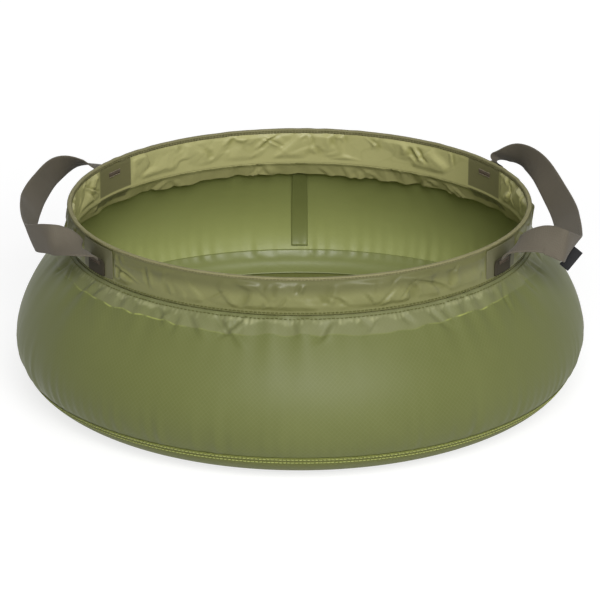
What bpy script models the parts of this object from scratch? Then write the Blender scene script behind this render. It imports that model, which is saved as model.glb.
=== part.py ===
import math

import bmesh
import bpy
from mathutils import Matrix, Vector

# A soft camp washbasin: a round fabric bucket that bulges out, with a stiffened collar and two
# strap handles that have fallen outwards. Lengths are in metres, +Z is up, the front faces -Y.

# The basin as a whole
basin_height = 0.163
collar_radius = 0.1936
collar_height = 0.0315
foot_radius = 0.180
bulge_radius = 0.240
bulge_height = 0.050
shoulder_power = 1.8

# Cloth, tape and thread
fabric_thickness = 0.0008
tape_thickness = 0.0006
thread_radius = 0.00035
layer_gap = 0.0003

# The floor and the foot of the wall
hem_height = 0.026
wall_foot_height = 0.0165
foot_tape_low = 0.0145
foot_tape_high = 0.033
lower_foot_stitch_height = 0.0212
upper_foot_stitch_height = 0.0243

# The collar
stiffener_thickness = 0.0008
stiffener_clearance = 0.0045
binding_thickness = 0.0008
binding_outer_leg = 0.0028
binding_inner_leg = 0.0045
binding_round = 0.0006
skirt_drop = 0.018
skirt_tuck = 0.0042
stitch_row_offset = 0.003
wall_seam_half_width = 0.0075
wall_seam_clearance = 0.0003

# Straps and what holds them
strap_width = 0.025
strap_thickness = 0.0014
patch_width = 0.046
patch_rise = 0.001
patch_top_drop = 0.0045
root_drop = 0.012
root_stand_off = 0.0054
strap_end_rise = 0.0015
strap_end_over = 0.004
bartack_width = 0.013
bartack_height = 0.0044
bartack_thickness = 0.0006
handle_angle = math.radians(32.5)

# The side label
label_length = 0.019
label_reach = 0.0095
label_thickness = 0.001
label_offset = 0.007
label_share = 0.69

# How finely round things are cut
ring_segments = 72
arc_segments = 4
handle_steps = 42

# Turns of the wall's lower curve and of the floor's edge, in degrees from straight down, and
# shares of the wall's upper curve
wall_turns = (75, 90)
floor_turns = (0, 12, 24, 36)
shoulder_shares = (0.25, 0.5, 0.75, 1.0)

# The way of each handle from its back root to its front one: how far out, along and up, as shares
# of the half span, and how far the strap's width leans from hanging straight down, in degrees
left_handle_shares = (
    (0.00, 1.00, 0.00, 90),
    (0.07, 1.045, 0.05, 85),
    (0.24, 1.01, 0.09, 50),
    (0.45, 0.89, 0.02, -10),
    (0.54, 0.65, -0.02, -40),
    (0.57, 0.38, -0.04, -50),
    (0.56, 0.13, -0.05, -45),
    (0.54, -0.12, -0.07, -30),
    (0.52, -0.38, -0.06, -20),
    (0.45, -0.62, 0.00, -15),
    (0.34, -0.85, 0.07, -5),
    (0.19, -1.04, 0.13, 25),
    (0.07, -1.045, 0.06, 75),
    (0.00, -1.00, 0.00, 90),
)
right_handle_shares = (
    (0.00, 1.00, 0.00, 90),
    (0.07, 1.045, 0.06, 85),
    (0.17, 1.04, 0.15, 45),
    (0.36, 0.86, 0.10, -10),
    (0.43, 0.60, 0.04, -30),
    (0.47, 0.32, 0.01, -40),
    (0.51, 0.04, -0.01, -55),
    (0.52, -0.24, -0.02, -55),
    (0.52, -0.52, -0.03, -50),
    (0.50, -0.80, 0.00, -40),
    (0.39, -1.03, 0.10, -15),
    (0.19, -1.11, 0.17, 50),
    (0.07, -1.045, 0.08, 80),
    (0.00, -1.00, 0.00, 90),
)

# Sizes that follow from the ones above
seam_height = basin_height - collar_height
layer_step = fabric_thickness + layer_gap
wall_drop = bulge_height - layer_step
wall_reach = bulge_radius - foot_radius
root_height = basin_height - root_drop
root_radius = collar_radius + root_stand_off
hinge_reach = root_radius * math.cos(handle_angle)
handle_half_span = root_radius * math.sin(handle_angle)
foot_turn = math.acos(1 - wall_foot_height / bulge_height)
hem_turn = math.acos(1 - hem_height / bulge_height)
seam_turns = (foot_turn, (foot_turn + hem_turn) / 2, hem_turn)


def clear_scene():
    for item in list(bpy.data.objects):
        bpy.data.objects.remove(item, do_unlink=True)


def make_material(name, colour, roughness, metallic=0.0):
    material = bpy.data.materials.new(name)
    material.use_nodes = True
    shader = material.node_tree.nodes["Principled BSDF"]
    shader.inputs["Base Color"].default_value = (*colour, 1.0)
    shader.inputs["Roughness"].default_value = roughness
    shader.inputs["Metallic"].default_value = metallic
    material.diffuse_color = (*colour, 1.0)
    return material


def finish_mesh(name, shape, material, pivot=(0, 0, 0), sharp_above=40):
    """Turns a bmesh into an object with its origin at the pivot, shaded smooth but for corners."""
    bmesh.ops.recalc_face_normals(shape, faces=shape.faces)
    bmesh.ops.translate(shape, verts=shape.verts, vec=-Vector(pivot))
    mesh = bpy.data.meshes.new(name)
    shape.to_mesh(mesh)
    shape.free()
    mesh.shade_smooth()
    mesh.set_sharp_from_angle(angle=math.radians(sharp_above))
    mesh.materials.append(material)
    item = bpy.data.objects.new(name, mesh)
    item.location = pivot
    bpy.context.scene.collection.objects.link(item)
    return item


def offset_curve(curve, distance):
    """Moves a curve of (radius, height) points sideways, inwards when the distance is positive."""
    moved = []
    for index, (radius, height) in enumerate(curve):
        before = Vector(curve[max(index - 1, 0)])
        here = Vector((radius, height))
        after = Vector(curve[min(index + 1, len(curve) - 1)])
        sides = [step.normalized() for step in (here - before, after - here) if step.length > 0]
        along = sum(sides, Vector((0, 0))).normalized()
        stretch = 1 / along.dot(sides[0])
        normal = Vector((-along.y, along.x)) * stretch
        moved.append(tuple(here + normal * distance))
    return moved


def sheet_loop(curve, outer, inner):
    """A closed outline round a sheet that lies between two offsets of one curve."""
    return offset_curve(curve, outer) + offset_curve(curve, inner)[::-1]


def add_ring(name, loop, material):
    """Spins a closed outline of (radius, height) points all the way round the Z axis."""
    shape = bmesh.new()
    corners = [shape.verts.new((radius, 0, height)) for radius, height in loop]
    edges = [shape.edges.new(pair) for pair in zip(corners, corners[1:] + corners[:1])]
    bmesh.ops.spin(
        shape,
        geom=corners + edges,
        axis=(0, 0, 1),
        angle=2 * math.pi,
        steps=ring_segments,
        use_merge=True,
    )
    return finish_mesh(name, shape, material)


def thread_loop(radius, height):
    return [
        (radius - thread_radius, height),
        (radius, height - thread_radius),
        (radius + thread_radius, height),
        (radius, height + thread_radius),
    ]


def add_arc(name, loop, middle, half_turn, material):
    """Spins a closed outline through an arc round the Z axis, as one block with closed ends."""
    shape = bmesh.new()
    start = Matrix.Rotation(middle - half_turn, 4, "Z")
    corners = [shape.verts.new(start @ Vector((radius, 0, height))) for radius, height in loop]
    face = shape.faces.new(corners)
    bmesh.ops.spin(
        shape,
        geom=corners + list(face.edges) + [face],
        axis=(0, 0, 1),
        angle=2 * half_turn,
        steps=arc_segments,
    )
    return finish_mesh(name, shape, material)


def box_loop(inner, outer, low, high):
    return [(inner, low), (outer, low), (outer, high), (inner, high)]


def lower_curve(turn, reach, drop):
    """A point of the wall's rounded foot, from straight below its centre towards the side."""
    return foot_radius + reach * math.sin(turn), bulge_height - drop * math.cos(turn)


def wall_point(height):
    """The wall's outer radius at a height."""
    if height < bulge_height:
        turn = math.acos((bulge_height - height) / wall_drop)
        return foot_radius + wall_reach * math.sin(turn), height
    share = (height - bulge_height) / (seam_height - bulge_height)
    return bulge_radius - (bulge_radius - collar_radius) * share**shoulder_power, height


def wall_curve():
    """The wall's outer line, from its foot inside the floor's edge up to the collar."""
    turns = list(seam_turns) + [math.radians(turn) for turn in wall_turns]
    curve = [lower_curve(turn, wall_reach, wall_drop) for turn in turns]
    for share in shoulder_shares:
        curve.append(wall_point(bulge_height + (seam_height - bulge_height) * share))
    return curve


def part_of_curve(curve, low, high):
    """The stretch of a curve between two heights, on its own straight pieces."""
    def at(height):
        for (r0, z0), (r1, z1) in zip(curve, curve[1:]):
            if z0 <= height <= z1:
                share = (height - z0) / (z1 - z0)
                return r0 + (r1 - r0) * share, height
        return curve[0] if height < curve[0][1] else curve[-1]

    inside = [point for point in curve if low < point[1] < high]
    return [at(low)] + inside + [at(high)]


def add_floor(material):
    """The round floor: its edge is spun, and one flat face closes it above and one below."""
    turns = [math.radians(turn) for turn in floor_turns] + list(seam_turns)
    outer = [lower_curve(turn, wall_reach + layer_step, bulge_height) for turn in turns]
    inner_drop = bulge_height - fabric_thickness
    inner = [lower_curve(turn, wall_reach + layer_gap, inner_drop) for turn in turns]
    shape = bmesh.new()
    corners = [shape.verts.new((radius, 0, height)) for radius, height in outer + inner[::-1]]
    edges = [shape.edges.new(pair) for pair in zip(corners, corners[1:])]
    bmesh.ops.spin(
        shape,
        geom=corners + edges,
        axis=(0, 0, 1),
        angle=2 * math.pi,
        steps=ring_segments,
        use_merge=True,
    )
    open_edges = [edge for edge in shape.edges if edge.is_boundary]
    bmesh.ops.holes_fill(shape, edges=open_edges, sides=0)
    return finish_mesh("base_panel", shape, material)


def smooth_station(table, place):
    """The table's row at a place between two of its stations, on a smooth curve through all."""
    index = min(int(place), len(table) - 2)
    share = place - index
    before = [2 * end - inner for end, inner in zip(table[0], table[1])]
    beyond = [2 * end - inner for end, inner in zip(table[-1], table[-2])]
    rows = [before, *table, beyond][index : index + 4]
    mixed = []
    for a, b, c, d in zip(*rows):
        bend = (2 * a - 5 * b + 4 * c - d) * share**2 + (3 * b - a - 3 * c + d) * share**3
        mixed.append((2 * b + (c - a) * share + bend) / 2)
    return mixed


def handle_frames(table):
    """Along a handle on the right: its middle points, its direction and its width's direction."""
    rows = [
        smooth_station(table, step * (len(table) - 1) / handle_steps)
        for step in range(handle_steps + 1)
    ]
    root = Vector((hinge_reach, 0, root_height))
    middles = [root + Vector(row[:3]) * handle_half_span for row in rows]
    frames = []
    for index, middle in enumerate(middles):
        before = middles[max(index - 1, 0)]
        after = middles[min(index + 1, handle_steps)]
        along = (after - before).normalized()
        down = (Vector((0, 0, -1)) + along * along.z).normalized()
        lean = math.radians(rows[index][3])
        across = down * math.cos(lean) + along.cross(down) * math.sin(lean)
        frames.append((middle, along, across))
    return frames


def add_handle(name, table, side, material):
    """A flat strap swept along its way, with its origin on the line through its two roots."""
    shape = bmesh.new()
    sections = []
    for middle, along, across in handle_frames(table):
        face = along.cross(across) * strap_thickness / 2
        edge = across * strap_width / 2
        corners = (middle - edge - face, middle + edge - face, middle + edge + face, middle - edge + face)
        sections.append([shape.verts.new((side * x, y, z)) for x, y, z in corners])
    for near, far in zip(sections, sections[1:]):
        for index in range(4):
            after = (index + 1) % 4
            shape.faces.new((near[index], near[after], far[after], far[index]))
    shape.faces.new(sections[0])
    shape.faces.new(sections[-1])
    return finish_mesh(name, shape, material, pivot=(side * hinge_reach, 0, root_height))


def add_label(material):
    """A folded tab that stands out from the right handle where the strap turns."""
    middle, along, across = handle_frames(right_handle_shares)[round(label_share * handle_steps)]
    outwards = along.cross(across)
    stand_off = strap_thickness / 2 + layer_gap + label_reach / 2
    centre = middle + across * label_offset + outwards * stand_off
    sides = (across * label_length, outwards * label_reach, along * label_thickness)
    place = Matrix.Translation(centre) @ Matrix(sides).transposed().to_4x4()
    shape = bmesh.new()
    bmesh.ops.create_cube(shape, size=1, matrix=place)
    return finish_mesh("side_label", shape, material, pivot=(hinge_reach, 0, root_height))


clear_scene()

wall_cloth = make_material("wall_cloth", (0.175, 0.205, 0.078), 0.42)
collar_cloth = make_material("collar_cloth", (0.270, 0.300, 0.095), 0.38)
floor_cloth = make_material("floor_cloth", (0.130, 0.160, 0.055), 0.45)
binding_tape = make_material("binding_tape", (0.205, 0.225, 0.080), 0.50)
seam_tape = make_material("seam_tape", (0.310, 0.340, 0.130), 0.35)
patch_cloth = make_material("patch_cloth", (0.115, 0.125, 0.060), 0.55)
webbing = make_material("webbing", (0.135, 0.118, 0.088), 0.80)
dark_thread = make_material("dark_thread", (0.060, 0.066, 0.028), 0.70)
bright_thread = make_material("bright_thread", (0.330, 0.370, 0.110), 0.60)
bartack_thread = make_material("bartack_thread", (0.240, 0.160, 0.125), 0.75)
strip_plastic = make_material("strip_plastic", (0.500, 0.520, 0.420), 0.40)
label_cloth = make_material("label_cloth", (0.012, 0.012, 0.013), 0.65)

# The floor and the wall
wall_line = wall_curve()
add_floor(floor_cloth)
add_ring("wall_panel", sheet_loop(wall_line, 0, fabric_thickness), wall_cloth)

tape_outer = layer_step
tape_inner = layer_step + tape_thickness
foot_line = part_of_curve([wall_point(foot_tape_low)] + wall_line, foot_tape_low, foot_tape_high)
add_ring("base_seam_tape", sheet_loop(foot_line, tape_outer, tape_inner), seam_tape)

# Stitching at the foot, just clear of the floor's turned-up edge
stitch_proud = thread_radius + layer_gap
for row_name, stitch_height in (
    ("lower", lower_foot_stitch_height),
    ("upper", upper_foot_stitch_height),
):
    stitch_turn = math.acos(1 - stitch_height / bulge_height)
    stitch_reach = wall_reach + layer_step + stitch_proud
    stitch_place = lower_curve(stitch_turn, stitch_reach, bulge_height + stitch_proud)
    add_ring(f"base_stitching_{row_name}", thread_loop(*stitch_place), bright_thread)

# The collar's layers, from the outside in
collar_inside = collar_radius - fabric_thickness
strip_outside = collar_inside - layer_gap
strip_inside = strip_outside - stiffener_thickness
lining_outside = strip_inside - layer_gap
lining_inside = lining_outside - fabric_thickness
collar_top = basin_height - binding_thickness - layer_gap
collar_bottom = seam_height + layer_gap
strip_bottom = seam_height + stiffener_clearance
collar_loop = box_loop(collar_inside, collar_radius, collar_bottom, collar_top)
lining_loop = box_loop(lining_inside, lining_outside, collar_bottom, collar_top)
strip_loop = box_loop(strip_inside, strip_outside, strip_bottom, collar_top)
add_ring("collar_outer", collar_loop, collar_cloth)
add_ring("collar_lining", lining_loop, collar_cloth)
add_ring("rim_stiffener", strip_loop, strip_plastic)

# The binding folded over the collar's top edge
binding_out = collar_radius + layer_gap + binding_thickness
binding_in = lining_inside - layer_gap - binding_thickness
shoulder_out = binding_out - binding_round
shoulder_in = binding_in + binding_round
shoulder_level = basin_height - binding_round
binding_loop = [
    (binding_out - binding_thickness, basin_height - binding_outer_leg),
    (binding_out, basin_height - binding_outer_leg),
    (binding_out, shoulder_level),
    (shoulder_out, basin_height),
    (shoulder_in, basin_height),
    (binding_in, shoulder_level),
    (binding_in, basin_height - binding_inner_leg),
    (binding_in + binding_thickness, basin_height - binding_inner_leg),
    (binding_in + binding_thickness, collar_top + layer_gap),
    (binding_out - binding_thickness, collar_top + layer_gap),
]
add_ring("rim_binding", binding_loop, binding_tape)

# The tape behind the collar seam: tucked between the layers above, loose on the wall below
skirt_line = part_of_curve(wall_line, seam_height - skirt_drop, seam_height)
skirt_outside = offset_curve(skirt_line, tape_outer)
skirt_inside = offset_curve(skirt_line, tape_inner)
tuck_top = seam_height + skirt_tuck
tuck_radius = strip_outside
tuck_inside = tuck_radius - tape_thickness
skirt_loop = skirt_outside + [(tuck_radius, collar_bottom), (tuck_radius, tuck_top)]
skirt_loop += [(tuck_inside, tuck_top), (tuck_inside, collar_bottom)] + skirt_inside[::-1]
add_ring("collar_seam_tape", skirt_loop, seam_tape)

# The two rows of stitches above and below the collar seam
upper_row = thread_loop(collar_radius + stitch_proud, seam_height + stitch_row_offset)
add_ring("collar_stitching_upper", upper_row, dark_thread)
lower_line = part_of_curve(wall_line, seam_height - stitch_row_offset, seam_height)
lower_place = offset_curve(lower_line, -stitch_proud)[0]
add_ring("collar_stitching_lower", thread_loop(*lower_place), dark_thread)

# The tape inside the wall where its strip of cloth closes on itself, at the back
seam_line = part_of_curve(
    wall_line, foot_tape_high + stitch_row_offset, seam_height - skirt_drop - stitch_row_offset
)
seam_outer = tape_outer + wall_seam_clearance
seam_loop = sheet_loop(seam_line, seam_outer, seam_outer + tape_thickness)
seam_half_turn = wall_seam_half_width / bulge_radius
add_arc("wall_seam_tape", seam_loop, math.pi / 2, seam_half_turn, seam_tape)

# Patches, sewn strap ends and bartacks at the four roots
patch_inside = collar_radius + layer_gap
patch_outside = patch_inside + fabric_thickness
strap_inside = patch_outside + layer_gap
strap_outside = strap_inside + strap_thickness
tack_inside = strap_outside + layer_gap
tack_low = root_height - bartack_height / 2
tack_high = root_height + bartack_height / 2
patch_low = seam_height + stitch_row_offset + stitch_proud + patch_rise
patch_high = basin_height - patch_top_drop
patch_loop = box_loop(patch_inside, patch_outside, patch_low, patch_high)
strap_end_low = patch_low + strap_end_rise
strap_end_high = root_height + strap_end_over
strap_end_loop = box_loop(strap_inside, strap_outside, strap_end_low, strap_end_high)
tack_outside = tack_inside + bartack_thickness
inner_tack_outside = lining_inside - layer_gap
inner_tack_inside = inner_tack_outside - bartack_thickness
outer_tack_loop = box_loop(tack_inside, tack_outside, tack_low, tack_high)
inner_tack_loop = box_loop(inner_tack_inside, inner_tack_outside, tack_low, tack_high)
patch_half_turn = patch_width / 2 / collar_radius
strap_half_turn = strap_width / 2 / strap_inside
tack_half_turn = bartack_width / 2 / tack_inside
for side_name, side in (("left", -1), ("right", 1)):
    for end_name, end in (("back", 1), ("front", -1)):
        middle = math.atan2(end * math.sin(handle_angle), side * math.cos(handle_angle))
        corner = f"{side_name}_{end_name}"
        add_arc(f"patch_{corner}", patch_loop, middle, patch_half_turn, patch_cloth)
        add_arc(f"strap_end_{corner}", strap_end_loop, middle, strap_half_turn, webbing)
        add_arc(f"bartack_{corner}", outer_tack_loop, middle, tack_half_turn, bartack_thread)
        inner_name = f"bartack_{corner}_inside"
        add_arc(inner_name, inner_tack_loop, middle, tack_half_turn, bartack_thread)

# The free loops of the two straps, and the label on the right one
add_handle("handle_left", left_handle_shares, -1, webbing)
add_handle("handle_right", right_handle_shares, 1, webbing)
add_label(label_cloth)
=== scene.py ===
import math

import bpy
import numpy as np
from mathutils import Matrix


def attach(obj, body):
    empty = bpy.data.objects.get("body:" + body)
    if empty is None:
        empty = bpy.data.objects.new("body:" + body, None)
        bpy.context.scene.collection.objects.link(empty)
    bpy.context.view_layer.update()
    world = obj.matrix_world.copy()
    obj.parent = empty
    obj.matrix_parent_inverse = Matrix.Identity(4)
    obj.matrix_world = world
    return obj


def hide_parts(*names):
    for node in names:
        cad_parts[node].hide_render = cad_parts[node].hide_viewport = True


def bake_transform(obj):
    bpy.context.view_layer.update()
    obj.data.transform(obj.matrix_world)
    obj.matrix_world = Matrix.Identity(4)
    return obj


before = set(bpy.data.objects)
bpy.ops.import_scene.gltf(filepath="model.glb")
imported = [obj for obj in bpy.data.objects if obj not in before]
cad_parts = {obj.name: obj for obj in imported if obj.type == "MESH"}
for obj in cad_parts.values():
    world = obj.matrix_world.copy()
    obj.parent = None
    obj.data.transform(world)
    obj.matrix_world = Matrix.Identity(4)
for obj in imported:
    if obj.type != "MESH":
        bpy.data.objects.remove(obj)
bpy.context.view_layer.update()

# A collapsible washbasin of coated ripstop nylon, round and full as it stands in use.
# Metres, +Z up, the front faces -Y. Angles run round +Z from +X.

turn = 2 * math.pi

basin = {
    "height": 0.163,
    "collarRadius": 0.1936,
    "collarHeight": 0.0315,
    "footRadius": 0.180,
    "bulgeRadius": 0.240,
    "bulgeHeight": 0.050,
    "shoulderPower": 1.8,
    "cloth": 0.0008,          # what the solid model allows for a layer
    "gap": 0.0003,            # and its clearance between layers
    "rootAngle": 32.5,        # degrees from the X axis to each strap root
    "rootDrop": 0.012,        # below the rim
    "rootStandOff": 0.0054,   # from the collar out to where a strap hinges
    "pinch": 0.0003,          # how far the collar seam pulls its cloth in
    "pinchReach": 0.0018,
}
seamHeight = basin["height"] - basin["collarHeight"]
layerStep = basin["cloth"] + basin["gap"]
rootHeight = basin["height"] - basin["rootDrop"]
rootRadius = basin["collarRadius"] + basin["rootStandOff"]
rootAngles = {
    "left_back": math.pi - math.radians(basin["rootAngle"]),
    "left_front": math.pi + math.radians(basin["rootAngle"]),
    "right_back": math.radians(basin["rootAngle"]),
    "right_front": -math.radians(basin["rootAngle"]),
}


def polar(angle, radius, height):
    # Points from their angle, radius and height, each spread over the shape of the others.
    angle, radius, height = np.broadcast_arrays(angle, radius, height)
    return np.stack([radius * np.cos(angle), radius * np.sin(angle), height], -1)


def apart(angle, where):
    # Signed angle from a place on the ring, the short way round.
    return (angle - where + math.pi) % turn - math.pi


def unit(vectors):
    # Each direction at length 1.
    return vectors / np.linalg.norm(vectors, axis=-1, keepdims=True)


def runAlong(line):
    # Distance from the start of a line of points to each of them.
    return np.concatenate([[0], np.cumsum(np.linalg.norm(np.diff(line, axis=0), axis=-1))])


def uvGrid(across, down):
    # Metres across and down the cut cloth for every point of a grid.
    return np.stack(np.meshgrid(across, down), -1)


def newPiece(name, points, faces, material):
    # A smooth mesh of one material, put into the scene.
    mesh = bpy.data.meshes.new(name)
    mesh.from_pydata(points.reshape(-1, 3).tolist(), [], faces)
    mesh.shade_smooth()
    mesh.materials.append(material)
    piece = bpy.data.objects.new(name, mesh)
    bpy.context.scene.collection.objects.link(piece)
    return piece


def quads(rows, cols, wrapRows, wrapCols):
    # Corner numbers of every quad of a grid; a wrapped side joins its last line to its first.
    a, b = np.meshgrid(np.arange(rows - (not wrapRows)), np.arange(cols - (not wrapCols)), indexing="ij")
    a, b = a.ravel(), b.ravel()
    a2, b2 = (a + 1) % rows, (b + 1) % cols
    return np.stack([a * cols + b, a * cols + b2, a2 * cols + b2, a2 * cols + b], 1)


def gridPiece(name, points, uv, material, wrapRows=False, wrapCols=True, capEnds=False, flip=False):
    # Puts a (rows, cols, 3) array of points into a smooth mesh; uv is one row and one column
    # longer where that side wraps, so the pattern closes without a jump.
    rows, cols = points.shape[:2]
    corners = quads(rows, cols, wrapRows, wrapCols)
    r, c = np.divmod(corners[:, 0], cols)
    uvCorners = np.stack([uv[r, c], uv[r, c + 1], uv[r + 1, c + 1], uv[r + 1, c]], 1)
    if flip:
        corners, uvCorners = corners[:, ::-1], uvCorners[:, ::-1]
    faces = corners.tolist()
    uvFlat = uvCorners.reshape(-1, 2)
    if capEnds:
        ends = [np.arange(cols)[::-1], np.arange(cols) + (rows - 1) * cols]
        rims = [uv[0, :cols][::-1], uv[rows - 1, :cols]]
        if flip:
            ends, rims = [e[::-1] for e in ends], [e[::-1] for e in rims]
        faces += [e.tolist() for e in ends]
        uvFlat = np.concatenate([uvFlat] + rims)
    piece = newPiece(name, points, faces, material)
    piece.data.uv_layers.new(name="cut").data.foreach_set("uv", uvFlat.astype(np.float32).ravel())
    return piece


def mark(piece, name, values):
    # A number at every point of the mesh, which its material reads by name.
    layer = piece.data.attributes.new(name, "FLOAT", "POINT")
    layer.data.foreach_set("value", np.asarray(values, np.float32).ravel())


def thicken(piece, thickness):
    # Grows away from the normals, so the surface as modelled is the side that is seen.
    solid = piece.modifiers.new("cloth thickness", "SOLIDIFY")
    solid.thickness = thickness
    solid.offset = -1.0
    solid.use_even_offset = False
    return piece


def finished(piece, body, slot, *nodes):
    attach(piece, body)
    if nodes:
        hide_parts(*nodes)
    return piece


def waves(angle, counts, seed):
    # Sum of sines with whole numbers of waves round the ring, each with its own phase and strength.
    rng = np.random.default_rng(seed)
    counts = np.asarray(counts, float)
    phase = rng.uniform(0, turn, len(counts))
    strength = rng.uniform(0.4, 1.0, len(counts))
    total = (strength * np.sin(np.asarray(angle)[..., None] * counts + phase)).sum(-1)
    return total / np.sqrt((strength**2).sum())


def hump(x, peak):
    # Rises from 0 to 1 at the peak and then dies away: x/p * exp(1 - x/p).
    share = np.clip(x, 0, None) / peak
    return share * np.exp(1 - share)


def smooth(x, low, high):
    # From 0 at low to 1 at high, easing at both ends: 3s^2 - 2s^3.
    share = np.clip((x - low) / (high - low), 0, 1)
    return share * share * (3 - 2 * share)


def crumple(u, v, around, cell, seed, sharp):
    # Each cell of a jittered grid holds a tilted plane; a point takes the planes near it, weighted
    # by exp(-sharp * distance squared), so flat facets meet in creases. Closes round u. The second
    # result is how near a crease is: 1 less the strongest plane's share.
    rng = np.random.default_rng(seed)
    nu, nv = int(round(around / cell)), 12
    jitter = rng.uniform(-0.38, 0.38, (nv, nu, 2))
    tilt = rng.normal(0, 0.75, (nv, nu, 2))
    level = rng.normal(0, 0.35, (nv, nu))
    gu, gv = u / (around / nu), v / cell + 3
    cu, cv = np.floor(gu).astype(int), np.floor(gv).astype(int)
    total, weight, best = (np.zeros(np.shape(gu)) for _ in range(3))
    for du in (-1, 0, 1):
        for dv in (-1, 0, 1):
            iu, iv = (cu + du) % nu, np.clip(cv + dv, 0, nv - 1)
            x = gu - (cu + du + 0.5 + jitter[iv, iu, 0])
            y = gv - (cv + dv + 0.5 + jitter[iv, iu, 1])
            w = np.exp(-sharp * (x * x + y * y))
            total += w * (level[iv, iu] + tilt[iv, iu, 0] * x + tilt[iv, iu, 1] * y)
            weight += w
            best = np.maximum(best, w)
    return total / weight, 1 - best / weight


def seamPinch(distance):
    # Deepest at the collar seam and gone a little way from it, so the seam lies in a valley.
    return basin["pinch"] * (1 - smooth(distance, 0, basin["pinchReach"]))


def shade(hexText):
    # sRGB hex to linear light.
    parts = [int(hexText[i:i + 2], 16) / 255 for i in (1, 3, 5)]
    return tuple(p / 12.92 if p <= 0.04045 else ((p + 0.055) / 1.055) ** 2.4 for p in parts) + (1.0,)


def add(tree, kind, inputs=None, output=0, **settings):
    # Adds a shader node with its settings. An input given as a socket is linked and any other
    # value is set. Gives back one output, the first unless another is asked for.
    node = tree.nodes.new("ShaderNode" + kind)
    for name, value in settings.items():
        setattr(node, name, value)
    for name, value in (inputs or {}).items():
        if isinstance(value, bpy.types.NodeSocket):
            tree.links.new(value, node.inputs[name])
        else:
            node.inputs[name].default_value = value
    return node.outputs[output]


def newMaterial(name, look):
    # Its finish is roughness, specular level and, for webbing, sheen.
    material = bpy.data.materials.new(name)
    material.use_nodes = True
    shader = material.node_tree.nodes["Principled BSDF"].inputs
    for socket, value in zip(("Roughness", "Specular IOR Level", "Sheen Weight"), look["finish"]):
        shader[socket].default_value = value
    return material, material.node_tree, shader


def clothMaterial(name, look):
    # Nylon ripstop with a knife-coated film: satin, so light lies on it in broad soft patches,
    # over a fine weave whose diamond net of doubled threads is just seen.
    material, tree, shader = newMaterial(name, look)
    cut = add(tree, "UVMap", uv_map="cut")
    inMetres = add(tree, "TexCoord", output="Object")
    net = add(tree, "VectorRotate", {"Vector": cut, "Angle": math.pi / 4}, rotation_type="Z_AXIS")
    net = add(tree, "VectorMath", {0: net, 3: 1 / look["netSpacing"]}, operation="SCALE")
    for step in ("FRACTION", "SUBTRACT", "ABSOLUTE"):      # how far from the middle of its cell
        net = add(tree, "VectorMath", {0: net, 1: (0.5, 0.5, 0.5)}, operation=step)
    across = add(tree, "SeparateXYZ", {0: net})
    net = add(tree, "Math", {0: across, 1: across.node.outputs[1]}, operation="MAXIMUM")
    net = add(tree, "MapRange", {
        "Value": net, "From Min": 0.5 - look["netWidth"] / look["netSpacing"], "From Max": 0.5,
    }, interpolation_type="SMOOTHSTEP")
    patchy = add(tree, "TexNoise", {"Vector": inMetres, "Scale": 14.0, "Detail": 3.0, "Roughness": 0.55})
    grain = add(tree, "TexNoise", {"Vector": inMetres, "Scale": 900.0, "Detail": 2.0})    # threads, about 1 mm
    netShow = add(tree, "Math", {0: net, 1: look["netShow"]}, operation="MULTIPLY")
    grainShow = add(tree, "Math", {0: grain, 1: 0.10}, operation="MULTIPLY")
    layers = [(patchy, look["pale"]), (netShow, look["net"]), (grainShow, look["grain"])]
    if "skirt" in look:
        # Through the thin wall the loose tape behind it shows, paler, and in places its cut edge.
        drop = add(tree, "SeparateXYZ", {0: cut}, 1)
        reach = add(tree, "Attribute", output="Fac", attribute_name="skirtReach")
        shown = add(tree, "Attribute", output="Fac", attribute_name="edgeShown")
        below = add(tree, "Math", {0: drop, 1: reach}, operation="SUBTRACT")
        band = add(tree, "MapRange", {
            "Value": below, "From Min": -0.0010, "From Max": 0.0004, "To Min": look["skirtShow"], "To Max": 0.0,
        }, interpolation_type="SMOOTHSTEP")
        edge = add(tree, "Math", {0: below}, operation="ABSOLUTE")
        edge = add(tree, "MapRange", {
            "Value": edge, "From Min": 0.0002, "From Max": 0.0009, "To Min": 1.0, "To Max": 0.0,
        }, interpolation_type="SMOOTHSTEP")
        broken = add(tree, "TexNoise", {"Vector": inMetres, "Scale": 90.0, "Detail": 4.0})
        broken = add(tree, "MapRange", {"Value": broken, "From Min": 0.42, "From Max": 0.56})
        for share in (shown, broken):
            edge = add(tree, "Math", {0: edge, 1: share}, operation="MULTIPLY")
        uneven = add(tree, "MapRange", {"Value": patchy, "From Min": 0.35, "From Max": 0.6, "To Min": 0.35})
        band = add(tree, "Math", {0: band, 1: uneven}, operation="MULTIPLY")
        layers += [(band, look["skirt"]), (edge, look["skirtEdge"])]
    for attribute, tint, strength in look.get("marks", ()):
        there = add(tree, "Attribute", output="Fac", attribute_name=attribute)
        layers.append((add(tree, "Math", {0: there, 1: strength}, operation="MULTIPLY"), tint))
    colour = shade(look["deep"])
    for share, tint in layers:
        colour = add(tree, "Mix", {0: share, 6: colour, 7: shade(tint)}, 2, data_type="RGBA")
    tree.links.new(colour, shader["Base Color"])
    height = add(tree, "Math", {0: net, 1: 0.6, 2: grain}, operation="MULTIPLY_ADD")
    weave = add(tree, "Bump", {"Strength": look["relief"], "Distance": 0.0001, "Height": height})
    cockle = add(tree, "TexNoise", {"Vector": inMetres, "Scale": 55.0, "Detail": 3.0, "Distortion": 0.6})
    soft = add(tree, "Bump", {
        "Strength": look["cockle"], "Distance": 0.0012, "Height": cockle, "Normal": weave})
    tree.links.new(soft, shader["Normal"])
    roughness = look["finish"][0]
    gloss = add(tree, "MapRange", {
        "Value": patchy, "From Min": 0.3, "From Max": 0.7, "To Min": roughness - 0.04, "To Max": roughness + 0.06})
    tree.links.new(gloss, shader["Roughness"])
    return material


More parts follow.
